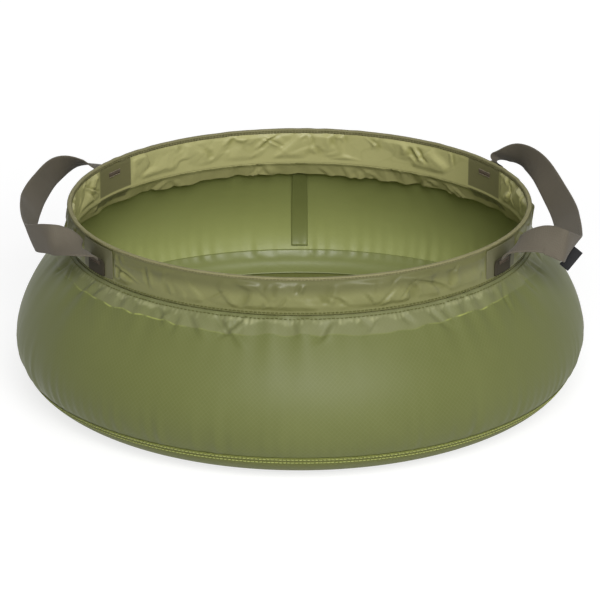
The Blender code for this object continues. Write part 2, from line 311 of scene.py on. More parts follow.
def ribbedMaterial(name, look):
    # Narrow woven goods: ribs lie across the tape, one weft thread each, over a fine warp.
    material, tree, shader = newMaterial(name, look)
    place = add(tree, "UVMap", uv_map="cut")
    place = add(tree, "SeparateXYZ", {0: place}).node.outputs
    threads = []
    for axis, spacing in ((look["alongAxis"], look["rib"]), (1 - look["alongAxis"], look["warp"])):
        thread = add(tree, "Math", {0: place[axis], 1: turn / spacing}, operation="MULTIPLY")
        threads.append(add(tree, "Math", {0: thread}, operation="SINE"))
    rib, warp = threads
    height = add(tree, "Math", {0: rib, 1: warp, 2: rib}, operation="MULTIPLY_ADD")
    inMetres = add(tree, "TexCoord", output="Object")
    fuzz = add(tree, "TexNoise", {"Vector": inMetres, "Scale": 700.0, "Detail": 3.0})
    patchy = add(tree, "TexNoise", {"Vector": inMetres, "Scale": 30.0, "Detail": 3.0})
    dark = add(tree, "MapRange", {
        "Value": height, "From Min": -1.8, "From Max": 0.2, "To Min": look["ribShow"], "To Max": 0.0})
    fuzzShow = add(tree, "Math", {0: fuzz, 1: 0.18}, operation="MULTIPLY")
    colour = shade(look["deep"])
    for share, tint in ((patchy, "pale"), (dark, "shadow"), (fuzzShow, "fuzz")):
        colour = add(tree, "Mix", {0: share, 6: colour, 7: shade(look[tint])}, 2, data_type="RGBA")
    tree.links.new(colour, shader["Base Color"])
    height = add(tree, "Math", {0: height, 1: 0.5, 2: fuzz}, operation="MULTIPLY_ADD")
    ribs = add(tree, "Bump", {"Strength": 0.5, "Distance": look["relief"], "Height": height})
    tree.links.new(ribs, shader["Normal"])
    return material


def threadMaterial(name, deep, pale):
    # Bonded polyester thread: two plies catch the light along its length.
    material, tree, shader = newMaterial(name, {"finish": (0.6, 0.35)})
    inMetres = add(tree, "TexCoord", output="Object")
    ply = add(tree, "TexNoise", {"Vector": inMetres, "Scale": 1400.0, "Detail": 2.0})
    colour = add(tree, "Mix", {0: ply, 6: shade(deep), 7: shade(pale)}, 2, data_type="RGBA")
    bump = add(tree, "Bump", {"Strength": 0.4, "Distance": 0.00008, "Height": ply})
    tree.links.new(colour, shader["Base Color"])
    tree.links.new(bump, shader["Normal"])
    return material


ripstop = {"netSpacing": 0.0029, "netWidth": 0.0004}
coatedWall = clothMaterial("coated ripstop wall", {
    "deep": "#595e30", "pale": "#656a3c", "net": "#8b9170", "grain": "#464d28", **ripstop,
    "netShow": 0.085, "relief": 0.05, "cockle": 0.15, "finish": (0.50, 0.23),
    "skirt": "#858468", "skirtShow": 0.34, "skirtEdge": "#8e9451",
    # the allowance mark is the turned-in cloth seen through, with painted highlight on the tucks' crests
    "marks": [("allowanceAndTuckHighlight", "#a6a77e", 0.5), ("paintedSeamShade", "#5f6132", 0.1)],
})
# Painted light: much paler than the same cloth outside, standing in for light that comes through the thin wall
# into the basin.
insideWallPaintedLight = clothMaterial("coated ripstop wall, inner face", {
    "deep": "#8b9155", "pale": "#999f63", "net": "#a6ac72", "grain": "#71773e", **ripstop,
    "netShow": 0.09, "relief": 0.06, "cockle": 0.15, "finish": (0.48, 0.30),
})
# Paler than the wall cloth: painted light, for light coming through the thin collar. Its marks are painted shade
# in the creases, in the seam's valley, under the binding and just above the seam.
coatedCollar = clothMaterial("coated ripstop collar", {
    "deep": "#6b6c40", "pale": "#79794e", "net": "#8a8a58", "grain": "#5f6129", **ripstop,
    "netShow": 0.06, "relief": 0.08, "cockle": 0.35, "finish": (0.42, 0.30),
    "marks": [("paintedCreaseShade", "#5c5d2c", 0.6), ("paintedSeamShade", "#5f6132", 0.1), ("paintedCollarShade", "#4c4c2a", 0.62)],
})
# Painted light: much paler than the same cloth outside, standing in for light coming through the thin lining; its
# marks are painted shade in the creases and the patches' painted shadow.
coatedLiningPaintedLight = clothMaterial("coated ripstop lining", {
    "deep": "#a5a26b", "pale": "#b6b37e", "net": "#b9b687", "grain": "#7f7d46", **ripstop,
    "netShow": 0.06, "relief": 0.08, "cockle": 0.35, "finish": (0.42, 0.30),
    "marks": [("paintedCreaseShade", "#787739", 0.55), ("patchPaintedShadow", "#6a6747", 0.94)],
})
# Its mark is a painted highlight along the folded top edge of the hem.
coatedFloor = clothMaterial("coated ripstop floor", {
    "deep": "#5e6230", "pale": "#696d3b", "net": "#7e8560", "grain": "#484e26", **ripstop,
    "netShow": 0.14, "relief": 0.10, "cockle": 0.15, "finish": (0.56, 0.13),
    "marks": [("foldHighlight", "#9ba24c", 0.45)],
})
packcloth = clothMaterial("plain packcloth patch", {
    "deep": "#57563b", "pale": "#646248", "net": "#6a684f", "grain": "#3a392a",
    "netSpacing": 0.0014, "netWidth": 0.0005, "netShow": 0.2, "relief": 0.15, "cockle": 0.15,
    "finish": (0.62, 0.30),
})
seamFilm = clothMaterial("welded seam tape", {
    "deep": "#6f7540", "pale": "#7b814c", "net": "#858b58", "grain": "#5b6135",
    "netSpacing": 0.0018, "netWidth": 0.0004, "netShow": 0.15, "relief": 0.10, "cockle": 0.3,
    "finish": (0.40, 0.40),
})
bindingWeave = ribbedMaterial("woven binding tape", {
    "deep": "#76724f", "pale": "#84805c", "shadow": "#555333", "fuzz": "#98936f", "finish": (0.7, 0.25),
    "alongAxis": 0, "rib": 0.0011, "warp": 0.0016, "relief": 0.00012, "ribShow": 0.30,
})
webbing = {"alongAxis": 1, "rib": 0.0012, "warp": 0.0020, "relief": 0.00018}
strapWeave = ribbedMaterial("woven nylon webbing", {
    "deep": "#524d41", "pale": "#5f584c", "shadow": "#39342b", "fuzz": "#736c5e", **webbing,
    "ribShow": 0.25, "finish": (0.78, 0.25, 0.05),
})
# Painted shade: the same webbing much darker, for the sewn-down ends in the shadow of the strap arm above them.
strapTailPaintedShade = ribbedMaterial("woven nylon webbing, sewn down", {
    "deep": "#2c281d", "pale": "#363124", "shadow": "#1f1b13", "fuzz": "#464031", **webbing,
    "ribShow": 0.30, "finish": (0.8, 0.20),
})
labelWeave = ribbedMaterial("woven damask label", {
    "deep": "#0d0d0e", "pale": "#19191b", "shadow": "#050505", "fuzz": "#2a2a2d", "finish": (0.7, 0.3),
    "alongAxis": 0, "rib": 0.0006, "warp": 0.0008, "relief": 0.0001, "ribShow": 0.3,
})
darkThread = threadMaterial("olive bonded thread", "#44461b", "#5c5e29")
brownThread = threadMaterial("umber bonded thread", "#4c4a26", "#605d34")
brightThread = threadMaterial("lime bonded thread", "#8d934d", "#a6ab66")
tackThread = threadMaterial("umber satin thread", "#43392c", "#5b5041")
tackEdge = threadMaterial("taupe satin thread", "#6f6653", "#8a806b")
# Smooth and waxy, inside the collar.
stripPlastic, tree, shader = newMaterial("extruded polyethylene strip", {"finish": (0.42, 0.4)})
shader["Base Color"].default_value = shade("#858a56")
print("materials ready")

wallForm = {
    # depths, each with the distance from its seam or hem at which it is deepest
    "fineGather": 0.00045, "finePeak": 0.0035,         # tucks right under the collar seam
    "coarseGather": 0.0009, "coarsePeak": 0.011,       # the folds they run into
    "footGather": 0.0005, "footPeak": 0.009,
    "rootPull": 0.0004, "rootPeak": 0.020,             # creases that fan out below the strap roots
    "footPinch": 0.0006,       # how far the two lower rows of stitches pull the cloth in
    "footRows": 0.0231,        # height between those rows
    "footPinchReach": 0.0035,
    "belly": 0.0008,
    "foldDepth": 0.0018, "foldCount": 46, "foldRadius": 0.205,
    "skirtReach": 0.0170, "skirtWander": 0.0022,
    "hem": 0.0263,             # height of the floor's folded top edge
    "end": 0.0165,             # the wall ends at this height, inside the floor's turned-up edge
}


def wallOutline():
    # From the seam down: radius falls off from the widest ring as height to a power, then a
    # quarter ellipse runs in under the basin to the floor.
    rise = np.linspace(1, 0, 260)[:-1]
    drop = basin["bulgeHeight"] - layerStep
    angle = np.linspace(math.pi / 2, 0, 260)
    reach = basin["bulgeRadius"] - basin["footRadius"]
    radius = np.concatenate([
        basin["bulgeRadius"] - (basin["bulgeRadius"] - basin["collarRadius"]) * rise ** basin["shoulderPower"],
        basin["footRadius"] + reach * np.sin(angle)])
    height = np.concatenate([
        basin["bulgeHeight"] + (seamHeight - basin["bulgeHeight"]) * rise,
        basin["bulgeHeight"] - drop * np.cos(angle)])
    along = runAlong(np.stack([radius, height], 1))
    dr, dz = np.gradient(radius, along), np.gradient(height, along)
    size = np.hypot(dr, dz)
    return along, radius, height, -dz / size, dr / size


outline = wallOutline()


def dropAt(height):
    # Distance down the outline from the collar seam to a height.
    return np.interp(-np.asarray(height, float), -outline[2], outline[0])


floorTurn = float(outline[0][-1])
wallLength = float(dropAt(wallForm["end"]))
hemDrop = float(dropAt(wallForm["hem"]))


def pickFolds():
    # Short soft folds under the seam: angle, slant, start, length, width and depth of each.
    rng = np.random.default_rng(11)
    count = wallForm["foldCount"]
    folds = np.stack([
        rng.uniform(0, turn, count), rng.uniform(-0.9, 0.9, count), rng.uniform(0.0, 0.006, count),
        rng.uniform(0.010, 0.032, count), rng.uniform(0.0016, 0.0040, count),
        rng.uniform(0.4, 1.0, count) * wallForm["foldDepth"]], 1)
    seen = np.zeros((6, 6))
    seen[:, 0] = np.radians([-124.5, -110.0, -103.0, -92.0, -83.0, -59.0])
    seen[:, 1:] = [[0.5, 0.004, 0.020, 0.0030, 0.0018], [0.9, 0.002, 0.030, 0.0032, 0.0024],
                   [-0.8, 0.002, 0.024, 0.0028, 0.0018], [0.3, 0.003, 0.018, 0.0026, 0.0014],
                   [-0.6, 0.004, 0.022, 0.0034, 0.0020], [0.5, 0.002, 0.026, 0.0036, 0.0022]]
    return np.concatenate([folds, seen])


wallFolds = pickFolds()


def skirtReach(angle):
    # How far below the seam the loose tape's edge hangs, uneven as it was trimmed.
    return wallForm["skirtReach"] + wallForm["skirtWander"] * (
        0.7 * waves(angle, [3, 5, 8, 11], 31) + 0.3 * waves(angle, range(24, 60, 5), 32))


def wallLift(angle, drop):
    # How far the cloth stands out from the plain outline: gathers that start at the seam and die
    # away, single folds, creases fanning from the strap roots, gathers above the hem, the pull of
    # the lower stitches, and a slow belly.
    angle, drop = np.broadcast_arrays(np.asarray(angle, float), np.asarray(drop, float))
    patchy = 0.55 + 0.45 * waves(angle, [2, 3, 5, 7, 9], 21)
    fine = waves(angle, range(170, 330, 13), 22) * hump(drop, wallForm["finePeak"])
    lift = wallForm["fineGather"] * fine * patchy
    coarse = waves(angle, range(26, 74, 5), 23) * hump(drop, wallForm["coarsePeak"])
    lift = lift + wallForm["coarseGather"] * coarse * patchy
    for where, slant, start, length, width, depth in wallFolds:
        x = apart(angle, where) * wallForm["foldRadius"] - slant * (drop - start)
        fade = smooth(drop, start, start + 0.3 * length) * (1 - smooth(drop, start + 0.5 * length, start + length))
        ridge = np.exp(-((x - 1.7 * width) / width) ** 2) * 0.55
        lift = lift + depth * fade * (ridge - np.exp(-((x / width) ** 2)))
    for where in rootAngles.values():
        spread = np.arctan2(apart(angle, where) * 0.2, drop + 0.012)
        fan = np.cos(spread * 11) * np.exp(-((spread / 0.75) ** 2))
        lift = lift + wallForm["rootPull"] * fan * hump(drop, wallForm["rootPeak"])
    foot = waves(angle, range(58, 150, 7), 24) * hump(hemDrop - drop, wallForm["footPeak"])
    lift = lift + wallForm["footGather"] * foot
    fromRows = (drop - dropAt(wallForm["footRows"])) / wallForm["footPinchReach"]
    lift = lift - wallForm["footPinch"] * np.exp(-(fromRows**2))
    slow = waves(angle, [3, 4, 5, 7, 9], 25) * np.sin(np.clip(drop / wallLength, 0, 1) * math.pi)
    return lift + wallForm["belly"] * slow


def wallPoint(angle, drop, out=0.0):
    # A point at that angle and distance below the seam, standing out from the wall's outer face.
    angle, drop = np.broadcast_arrays(np.asarray(angle, float), np.asarray(drop, float))
    radius, height, nr, nz = (np.interp(drop, outline[0], line) for line in outline[1:])
    away = wallLift(angle, drop) + out
    radius, height = radius + nr * away - seamPinch(drop), height + nz * away
    return polar(angle, radius, height)


def nearRoot(angle, radius, half, soft):
    # 1 over the four strap roots, to a half width each way, and 0 away from them.
    near = np.zeros(np.shape(angle))
    for where in rootAngles.values():
        away = np.abs(apart(angle, where)) * radius
        near = np.maximum(near, 1 - smooth(away, half, half + soft))
    return near


def ringAngles(cols):
    # Starts and ends at the back, where the real cloth closes on itself.
    return math.pi / 2 + np.arange(cols) * turn / cols


def ringUv(cols, perTurn, rowValues):
    # Metres round the ring and metres down the cloth.
    return uvGrid(np.linspace(0, perTurn, cols + 1), rowValues)


def edgeShown(angle):
    # Where the loose tape's edge shines through the wall: at the front's left and right.
    degrees = np.degrees(apart(angle, 0))
    left = np.exp(-(((degrees + 133) / 17) ** 2))
    right = np.exp(-(((degrees + 48) / 10) ** 2))
    return np.clip(0.12 + left + right, 0, 1)


wallCut = {
    "cols": 660, "around": 1.5120, "thickness": 0.0005,
    "allowanceAndTuckHighlight": 0.0070, "allowanceWander": 0.0018,     # the seam's turned-in cloth shows through to here, with painted highlight on the tucks' crests
    "allowanceFrom": (0.0034, 0.0046), "allowanceFade": (-0.0015, 0.0010), "paintedSeamShade": (0.0008, 0.0022),
}
stops = (0, 0.004, 0.030, wallLength - 0.026, wallLength)      # rows lie closer near the seam and the hem
dropRows = np.concatenate([[0]] + [
    np.linspace(start, end, count)[1:] for start, end, count in zip(stops, stops[1:], (8, 20, 20, 20))])
angles = ringAngles(wallCut["cols"])
points = wallPoint(angles[None, :], dropRows[:, None])
uv = ringUv(wallCut["cols"], wallCut["around"], dropRows)
wallPanel = gridPiece("wallCloth", points, uv, coatedWall, flip=True)
mark(wallPanel, "skirtReach", np.tile(skirtReach(angles), len(dropRows)))
mark(wallPanel, "edgeShown", np.tile(edgeShown(angles), len(dropRows)))
# painted highlight on the crests of the fine gathers under the seam, from the same waves as their lift, where the
# turned-in cloth shows through
tuckHighlight = 0.30 + 0.45 * waves(angles, [2, 3, 5, 8, 13], 27) + 0.40 * waves(angles, range(170, 330, 13), 22)
hang = wallCut["allowanceAndTuckHighlight"] + wallCut["allowanceWander"] * waves(angles, range(30, 120, 11), 28)
turned = smooth(dropRows, *wallCut["allowanceFrom"])[:, None] * (
    1 - smooth(dropRows[:, None] - hang[None, :], *wallCut["allowanceFade"]))
mark(wallPanel, "allowanceAndTuckHighlight", np.clip(tuckHighlight[None, :], 0, 1) * turned)
# painted shade in the valley of the collar seam, fading down the wall
mark(wallPanel, "paintedSeamShade", np.repeat(1 - smooth(dropRows, *wallCut["paintedSeamShade"]), wallCut["cols"]))
thicken(wallPanel, wallCut["thickness"]).modifiers[0].material_offset = 1
wallPanel.data.materials.append(insideWallPaintedLight)
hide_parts("wall_panel")
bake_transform(wallPanel)
print("wall made")


floorCut = {
    "cols": 480, "swell": 0.0008, "cut": 0.482,
    "taper": 0.012,            # the turned-up edge grows thinner over this much below its top
    "clear": 0.0003, "taperDepth": 0.0005, "foldOver": 0.0002,
    "hub": 0.003, "rippleFade": 0.03,      # from the middle, and from the edge inwards
}


def hemOut(drop):
    # How far the floor cloth's outer face stands off the wall: it thins to its folded top edge.
    thinning = smooth(drop, hemDrop, hemDrop + floorCut["taper"])
    return basin["gap"] + floorCut["clear"] + floorCut["taperDepth"] * thinning


def floorSheet():
    # A disc whose edge turns up outside the wall: flat underside, then the wall's own outline set
    # out by two layers, a folded top edge, and back down inside to a slightly uneven floor.
    angle = ringAngles(floorCut["cols"])[None, :]
    inwards = np.linspace(floorCut["hub"], basin["footRadius"], 26)[:, None]
    taperDrop = hemDrop + floorCut["taper"]
    ride = np.concatenate([
        np.linspace(floorTurn, taperDrop, 14)[1:], np.linspace(taperDrop, hemDrop, 16)[1:]])[:, None]
    ripple = waves(angle, [2, 3, 5], 41) * np.sin(np.clip(inwards / basin["footRadius"], 0, 1) * math.pi) ** 2
    ripple = floorCut["swell"] * (1.2 + ripple * np.cos(inwards * 55))
    ripple = ripple * smooth(basin["footRadius"] - inwards, 0.0, floorCut["rippleFade"])
    under = polar(angle, inwards, 0.0)
    over = polar(angle, inwards[::-1], basin["cloth"] + ripple[::-1])
    outside = wallPoint(angle, ride, out=hemOut(ride))
    fold = wallPoint(angle, np.array([[hemDrop - floorCut["foldOver"]]]), out=basin["gap"] + floorCut["clear"] / 2)
    inside = wallPoint(angle, ride[::-1], out=basin["gap"])
    # painted highlight along the folded top edge, where it catches the light
    share = np.zeros(len(under) + len(outside) + 1 + len(inside) + len(over))
    share[len(under) + len(outside) - 1:len(under) + len(outside) + 2] = 1
    return np.concatenate([under, outside, fold, inside, over]), share


points, foldHighlightShare = floorSheet()
floorUv = np.concatenate([points[..., :2], points[:, :1, :2]], 1)
floorPanel = gridPiece("floorCloth", points, floorUv, coatedFloor, capEnds=True)
mark(floorPanel, "foldHighlight", np.repeat(foldHighlightShare, floorCut["cols"]))
finished(floorPanel, "basin", "floor_cloth", "base_panel")
print("floor made")


stripThickness = 0.0008
strip = basin["collarRadius"] - layerStep
liningRadius = strip - stripThickness - basin["gap"] - basin["cloth"]

tapes = {
    "cols": 540, "thickness": 0.0004, "loose": 0.0042,
    "footLow": 0.0145, "footHigh": 0.033, "footAround": 1.45, "skirtAround": 1.26,
    "held": 0.004,             # the loose tape is sewn down to here
    "tuck": (0.0042, 0.0030, 0.0018, 0.0009),      # rows above the seam
    "backHalf": 0.0075, "backFrom": 0.0215, "backTo": 0.036,      # below the seam, and as a height
    "patchHalf": 0.0225, "patchFade": (0.0085, 0.0095),            # where the patches' painted shadow darkens it
}

rows = np.linspace(dropAt(tapes["footHigh"]), dropAt(tapes["footLow"]), 18)
angles = ringAngles(tapes["cols"])
points = wallPoint(angles[None, :], rows[:, None], out=-layerStep)
footTape = gridPiece("footTape", points, ringUv(tapes["cols"], tapes["footAround"], rows), seamFilm, flip=True)
finished(thicken(footTape, tapes["thickness"]), "basin", "seam_tape", "base_seam_tape")


def skirtPoints(angles, count):
    # Tucked up flat behind the seam, out under the lining's edge, then hanging on from it, off the
    # wall by more and more towards an uneven lower edge, with ripples of its own.
    share = np.linspace(0, 1, count)[:, None]
    drop = share * skirtReach(angles)[None, :]
    off = tapes["loose"] * share * (0.75 + 0.25 * waves(angles[None, :], range(9, 48, 5), 35))
    off = np.clip(off, 0, None) + layerStep
    moved = wallPoint(angles[None, :], drop) - wallPoint(angles[None, :], drop * 0)
    hanging = wallPoint(angles[None, :], drop, out=-off)
    held = (1 - smooth(drop, 0.0, tapes["held"]))[..., None]
    tucked = polar(angles, liningRadius + basin["gap"], seamHeight)[None] + moved * np.array([0.6, 0.6, 1])
    climb = np.array(tapes["tuck"])
    top = polar(angles, strip - basin["pinch"] * 0.4, seamHeight)
    up = top[None] + np.array([0, 0, 1]) * climb[:, None, None]
    rows = np.concatenate([-climb, share[:, 0] * wallForm["skirtReach"]])
    return np.concatenate([up, hanging * (1 - held) + tucked * held]), rows


points, rows = skirtPoints(angles, 16)
uv = ringUv(tapes["cols"], tapes["skirtAround"], rows)
skirt = gridPiece("collarTape", points, uv, coatedLiningPaintedLight, flip=True)
# painted shadow: the patches outside keep light from coming through to the tape
dark = nearRoot(angles, basin["collarRadius"], tapes["patchHalf"], 0.001)
mark(skirt, "patchPaintedShadow", (1 - smooth(rows, *tapes["patchFade"]))[:, None] * dark[None, :])
finished(thicken(skirt, tapes["thickness"]), "rim", "seam_tape", "collar_seam_tape")

half = tapes["backHalf"] / basin["bulgeRadius"]
rows = np.linspace(tapes["backFrom"], dropAt(tapes["backTo"]), 60)
cols = np.linspace(math.pi / 2 - half, math.pi / 2 + half, 12)
points = wallPoint(cols[None, :], rows[:, None], out=-layerStep - basin["gap"])
uv = uvGrid(np.linspace(0, 2 * tapes["backHalf"], len(cols)), rows)
backTape = gridPiece("backTape", points, uv, seamFilm, wrapCols=False, flip=True)
thicken(backTape, tapes["thickness"])
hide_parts("wall_seam_tape")
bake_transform(backTape)
print("tapes made")


collar = {
    "cols": 900, "thickness": 0.0005, "around": 1.2152, "puff": 0.0007,
    "bigCrease": 0.0025, "bigCell": 0.027, "smallCrease": 0.0007, "smallCell": 0.012, "sharp": 10.0,
    "foldCount": 80, "foldDepth": 0.0019,
    "curve": (0.0035, 0.0030),         # how far the facets' borders wander along and up
    "freeFrom": (0.003, 0.009),        # above the seam the crumples grow
    "freeTo": (0.1555, 0.1600),        # and near the binding they end, as heights
    "lean": 0.0004, "leanFrom": (0.1560, 0.1605),
    "patchHalf": 0.023, "patchSoft": 0.005, "patchEdge": 0.0005,
    "stitchRow": 0.0021, "closeRows": 0.005,       # above the seam, and where rows lie closer
    "paintedSeamShade": (0.0006, 0.0020),     # above the seam; the other painted shades come or go between heights
    # heights of the painted shade under the binding, above the seam, and of the patches' painted shadow
    "paintedShadeTop": (0.1455, 0.1545), "paintedShadeFoot": (0.1330, 0.1375), "patchShadowHeights": (0.1335, 0.1345),
}
collarLow = seamHeight + basin["gap"]
collarHigh = basin["height"] - basin["cloth"] - basin["gap"]


def collarFolds(angles, up, seed):
    # Short curved folds: each a narrow dent with a raised side, along a line that leans and bends.
    # Gives the lift, and the depth of the dents alone, for the painted shade in them.
    rng = np.random.default_rng(seed)
    lift, dent = np.zeros(up.shape), np.zeros(up.shape)
    for _ in range(collar["foldCount"]):
        where, low = rng.uniform(0, turn), rng.uniform(0.001, 0.020)
        lean, bow, length = rng.normal(0, 0.8), rng.normal(0, 50), rng.uniform(0.009, 0.024)
        width, depth = rng.uniform(0.0012, 0.0034), rng.uniform(0.35, 1.0)
        rise = up - low
        x = (apart(angles, where) * basin["collarRadius"] - lean * rise - bow * rise**2) / width
        fade = smooth(rise, 0, 0.3 * length) * (1 - smooth(rise, 0.6 * length, length)) * depth
        hollow = np.exp(-(x**2)) * fade
        lift += 0.7 * np.exp(-(((x - 1.6) / 1.1) ** 2)) * fade - hollow
        dent += hollow
    return lift * collar["foldDepth"], np.clip(dent, 0, 1)


def collarLayer(radius, side, seed):
    # A cylinder that puffs out between its seams, crumpled in facets of two sizes whose borders
    # curve, creased by short folds, flat behind the patches, drawn in at the seam and leaning
    # together under the binding. Also gives the painted shade for its creases at each point.
    angles = ringAngles(collar["cols"])[None, :]
    closer = collarLow + collar["closeRows"]
    height = np.concatenate([
        np.linspace(collarHigh, closer, 27), np.linspace(closer, collarLow, 9)[1:]])[:, None]
    around = turn * basin["collarRadius"]
    up = height - collarLow + 0 * angles
    along, upwards = collar["curve"]
    u = (angles % turn) * basin["collarRadius"] + along * np.sin(up * 240 + 4 * np.sin(angles * 7)) + 0.35 * up
    v = up + upwards * waves(angles, [5, 9, 14, 23, 31], seed + 2)
    big, bigEdge = crumple(u, v, around, collar["bigCell"], seed, collar["sharp"])
    small = crumple(u, v, around, collar["smallCell"], seed + 1, collar["sharp"])[0]
    share = np.clip(up / (collarHigh - collarLow), 0, 1)
    free = smooth(height, *(seamHeight + rise for rise in collar["freeFrom"]))
    free = free * (1 - smooth(height, *collar["freeTo"]))
    free = free * (1 - nearRoot(angles, radius, collar["patchHalf"] + collar["patchEdge"], collar["patchSoft"]))
    folds, dent = collarFolds(angles, up, seed + 3)
    lift = collar["puff"] * (0.9 + 0.5 * np.sin(share * math.pi)) + folds
    lift = lift + collar["bigCrease"] * big + collar["smallCrease"] * small
    # painted shade in the folds' dents and along the facets' borders, where the crumpled cloth is shaded
    paintedCreaseShade = np.clip(dent + 0.25 * smooth(bigEdge, 0.2, 0.5), 0, 1) * free
    lean = collar["lean"] * smooth(height, *collar["leanFrom"])
    r = radius + side * (np.clip(lift, 0, None) * free - lean)
    if side > 0:
        r = r - seamPinch(up)
    return polar(angles, r, height), height[:, 0], paintedCreaseShade


def collarPiece(name, radius, side, seed, material, node):
    # One layer, outside or inside by side 1 or -1, with the painted shades that the two materials read.
    points, rows, paintedCreaseShade = collarLayer(radius, side, seed)
    piece = gridPiece(name, points, ringUv(collar["cols"], collar["around"], rows), material, flip=side > 0)
    mark(piece, "paintedCreaseShade", paintedCreaseShade)
    # painted shade in the seam's valley, fading up the collar
    mark(piece, "paintedSeamShade", np.repeat(1 - smooth(rows - collarLow, *collar["paintedSeamShade"]), collar["cols"]))
    # painted shade: darker under the binding, for its shadow and the strip behind the thin cloth, and a little
    # darker just above the seam
    paintedTopAndFootShade = smooth(rows, *collar["paintedShadeTop"]) + 0.2 * (1 - smooth(rows, *collar["paintedShadeFoot"]))
    mark(piece, "paintedCollarShade", np.repeat(paintedTopAndFootShade, collar["cols"]))
    # painted shadow: where a patch lies outside, less light comes through the thin cloth
    dark = nearRoot(ringAngles(collar["cols"]), radius, collar["patchHalf"] - collar["patchEdge"], 0.001)
    mark(piece, "patchPaintedShadow", smooth(rows, *collar["patchShadowHeights"])[:, None] * dark[None, :])
    return finished(thicken(piece, collar["thickness"]), "rim", "collar_cloth", node)


collarOuter = collarPiece("collarCloth", basin["collarRadius"], 1, 51, coatedCollar, "collar_outer")
collarLining = collarPiece("liningCloth", liningRadius, -1, 61, coatedLiningPaintedLight, "collar_lining")
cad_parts["rim_stiffener"].data.materials.clear()
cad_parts["rim_stiffener"].data.materials.append(stripPlastic)
print("collar made")


binding = {
    "outerLeg": 0.0020, "innerLeg": 0.0036, "thickness": 0.0005, "round": 0.0010, "cols": 720,
    "around": 1.2056, "wobble": 0.00012, "clear": 0.0001,      # from the collar, and to its own threads
    "outerRow": 0.0014, "innerRows": (0.0017, 0.0030),         # stitches below the rim
    "inset": 0.0004, "crown": 0.0002,      # from a bend to the next row, and what the wobble may add on top
}
bindingOut = basin["collarRadius"] - collar["lean"] + binding["clear"] + binding["thickness"]
bindingIn = liningRadius + collar["lean"] - binding["clear"] - binding["thickness"]


def bindingLoop():
    # Once round the folded tape's outline: up the outer leg, over two rounded corners, down the
    # inner leg, and back a thickness further in. Rows of radius and height.
    top, bend, wall = basin["height"], binding["round"], binding["thickness"]
    low, lowIn = top - binding["outerLeg"], top - binding["innerLeg"]
    quarter, tip, inset = np.linspace(0, math.pi / 2, 6), np.linspace(-1.5, 1.5, 5), binding["inset"]
    line = [
        (bindingOut - wall / 2 + wall / 2 * np.sin(tip), low - wall / 2 * np.cos(tip)),
        (np.full(4, bindingOut), np.linspace(low + inset, top - bend - inset / 2, 4)),
        (bindingOut - bend + bend * np.cos(quarter), top - bend + bend * np.sin(quarter)),
        (bindingIn + bend - bend * np.sin(quarter), top - bend + bend * np.cos(quarter)),
        (np.full(6, bindingIn), np.linspace(top - bend - inset, lowIn + inset, 6)),
        (bindingIn + wall / 2 - wall / 2 * np.sin(tip[::-1]), lowIn - wall / 2 * np.cos(tip)),
        (np.full(5, bindingIn + wall), np.linspace(lowIn + inset, top - bend, 5)),
        (bindingIn + bend - (bend - wall) * np.cos(quarter), top - bend + (bend - wall) * np.sin(quarter)),
        (bindingOut - bend + (bend - wall) * np.sin(quarter), top - bend + (bend - wall) * np.cos(quarter)),
        (np.full(3, bindingOut - wall), np.linspace(top - bend - inset / 2, low + inset, 3)),
    ]
    return np.concatenate([np.stack(part, 1) for part in line])


loop = bindingLoop()
angles = ringAngles(binding["cols"])
wobble = binding["wobble"] * waves(angles, range(20, 90, 6), 71)
points = polar(angles, loop[:, :1] + wobble[None, :], loop[:, 1:] + 0.6 * wobble[None, :])
points[..., 2] = np.minimum(points[..., 2], basin["height"] + binding["crown"])
around = runAlong(loop)
uv = ringUv(binding["cols"], binding["around"], np.append(around, around[-1] + 0.001))
rimBinding = gridPiece("rimBinding", points, uv, bindingWeave, wrapRows=True)
finished(rimBinding, "rim", "binding_tape", "rim_binding")
print("binding made")


stitches = {     # pitch, length, thread radius and thread
    "collar": (0.0034, 0.0027, 0.00042, darkThread),
    "foot": (0.0032, 0.0030, 0.00038, brightThread),
    "binding": (0.0028, 0.0026, 0.00030, brownThread),
}
stitchOut = 0.0002      # the middle of a thread above its cloth, and how far a stitch arches
lowerCollarRow = 0.0030
footRows = {"Lower": 0.0215, "Upper": 0.0247}
footRowRadius = 0.232


def threadMesh(name, middle, along, out, length, radius, rise, material):
    # One small pod for each stitch: its middle line arches out of the cloth, and its radius swells
    # from the holes it comes out of. Arrays of middles, directions and outward normals.
    count, rings, sides = len(middle), 5, 6
    t = np.linspace(-1, 1, rings)
    spin = np.arange(sides) * turn / sides
    swell = np.sqrt(np.clip(1 - 0.9 * t**4, 0, 1))
    side = np.cross(along, out)
    spine = middle[:, None] + along[:, None] * (t * length / 2)[None, :, None]
    spine = spine + out[:, None] * (rise * (1 - t**2) - rise * 0.5)[None, :, None]
    tube = out[:, None, None] * np.cos(spin)[None, None, :, None]
    tube = tube + side[:, None, None] * np.sin(spin)[None, None, :, None]
    points = spine[:, :, None] + tube * (radius * swell)[None, :, None, None]
    one = quads(rings, sides, False, True)
    base = (np.arange(count) * rings * sides)[:, None, None]
    faces = (one[None] + base).reshape(-1, 4).tolist()
    caps = np.stack([np.arange(sides)[::-1], np.arange(sides) + (rings - 1) * sides])
    faces += (caps[None] + base).reshape(-1, sides).tolist()
    return newPiece(name, points, faces, material)


def ringStitches(name, surface, radius, kind, side=1):
    # Stitches end to end round the ring, on a surface given as a function of the angle.
    pitch, length, thick, thread = stitches[kind]
    count = int(turn * radius / pitch)
    angle = (np.arange(count) + 0.5) * turn / count
    step = 0.3 * turn / count
    along = unit(surface(angle + step) - surface(angle - step))
    out = polar(angle, side, 0)
    out = unit(out - along * (out * along).sum(1)[:, None])
    return threadMesh(name, surface(angle), along, out, length, thick, stitchOut, thread)


